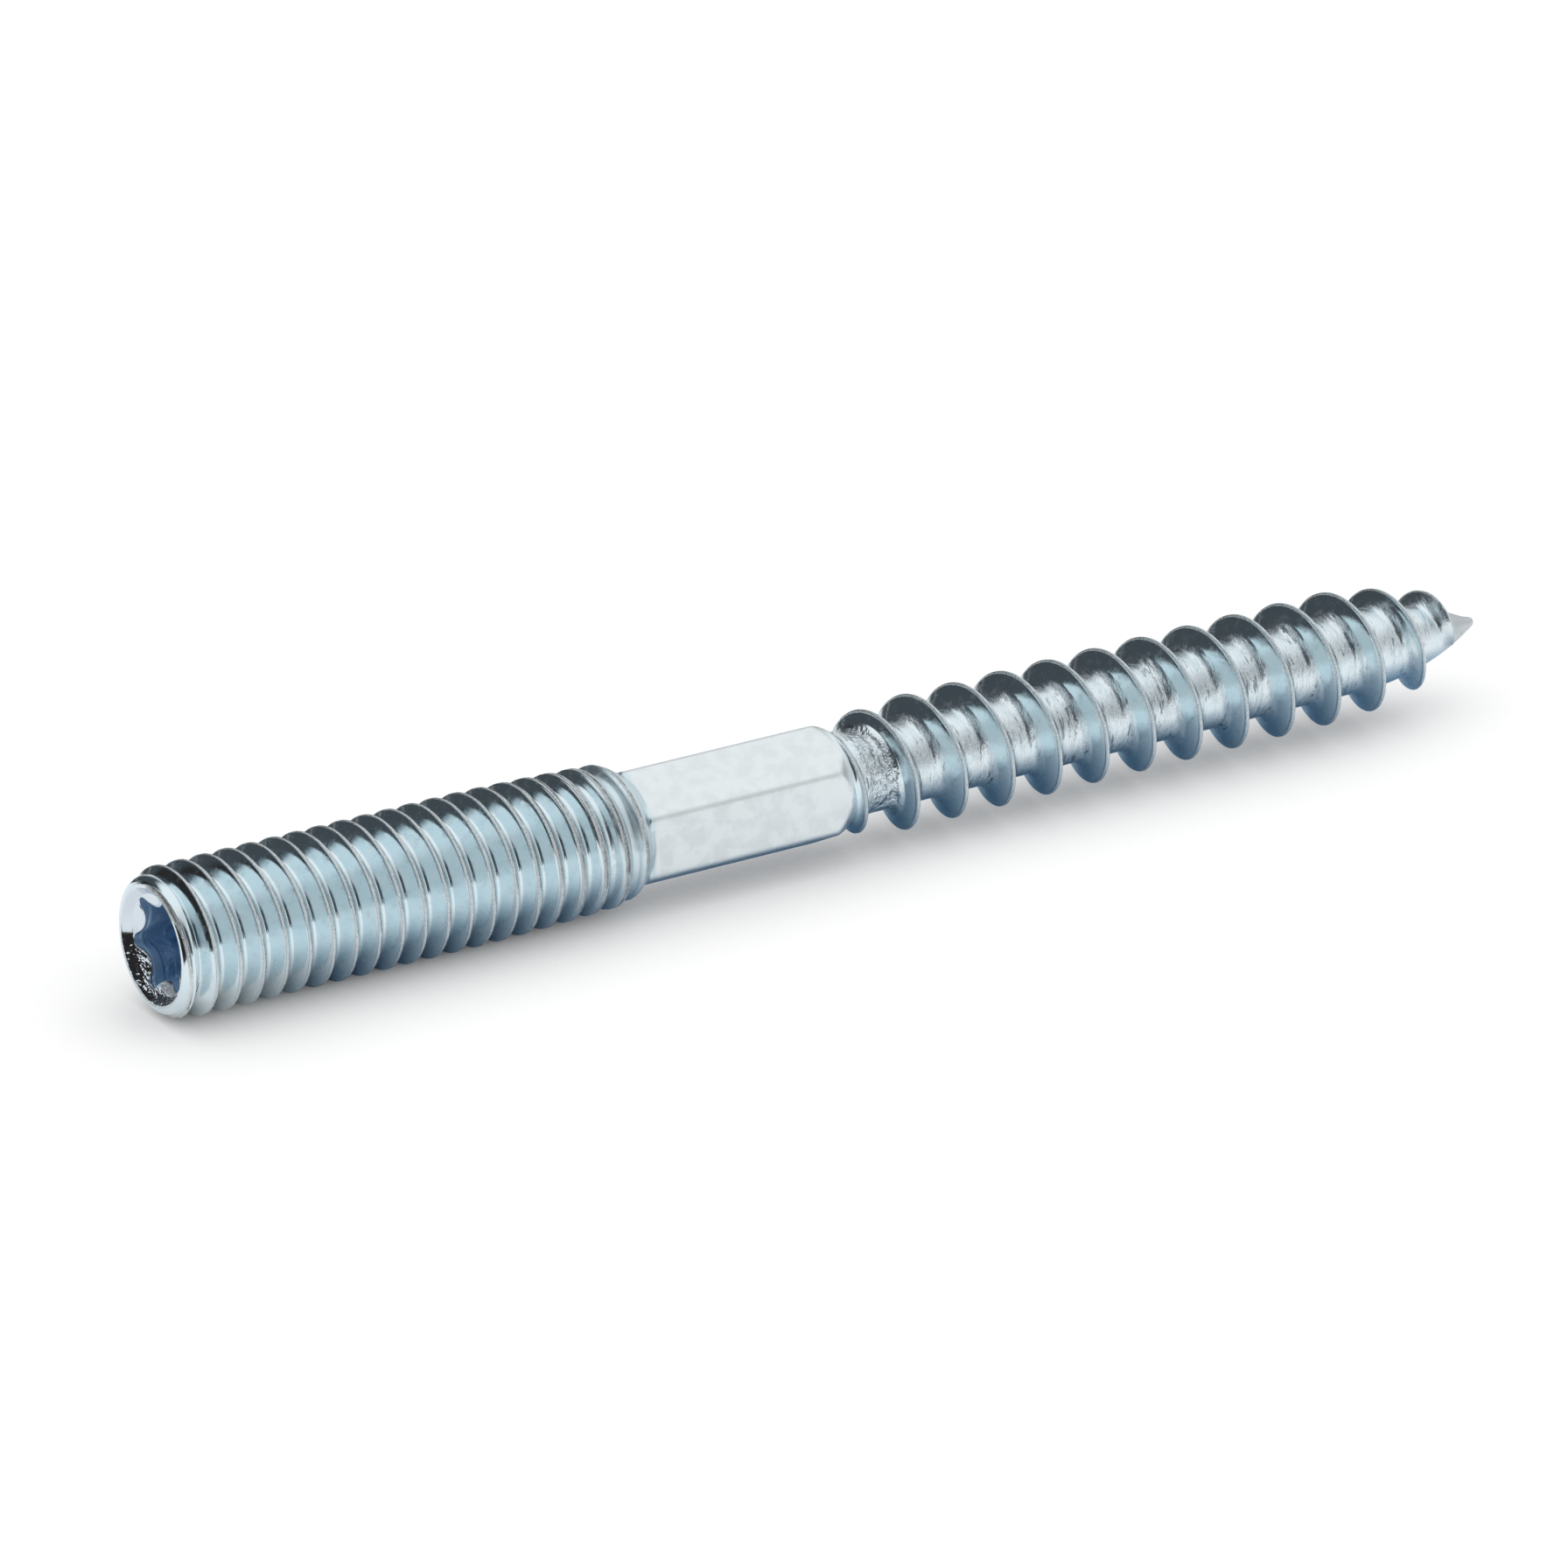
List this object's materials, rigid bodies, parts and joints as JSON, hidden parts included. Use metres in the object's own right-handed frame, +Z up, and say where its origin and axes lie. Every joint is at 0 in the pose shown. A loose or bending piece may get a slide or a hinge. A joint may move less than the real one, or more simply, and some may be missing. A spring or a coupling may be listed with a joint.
{
  "type": "hanger bolt",
  "caption": "Headless bolt with a machine thread and six-lobe socket at one end, a wrench hexagon in the middle and a tapered wood screw at the other end.",
  "frame": {"origin": "on the bolt's axis, in the plane of the socket end, where a nut starts", "axes": "+X along the axis from the socket end to the wood point, +Z up through a corner of the hexagon"},
  "size_m": [0.06, 0.0058, 0.006],
  "materials": {
    "bright_zinc": "bright blue-white zinc plating, glossy on the rolled threads and satin on the hexagon"
  },
  "bodies": {
    "root": {"hanger_bolt": "bright_zinc"}
  },
  "joints": []
}
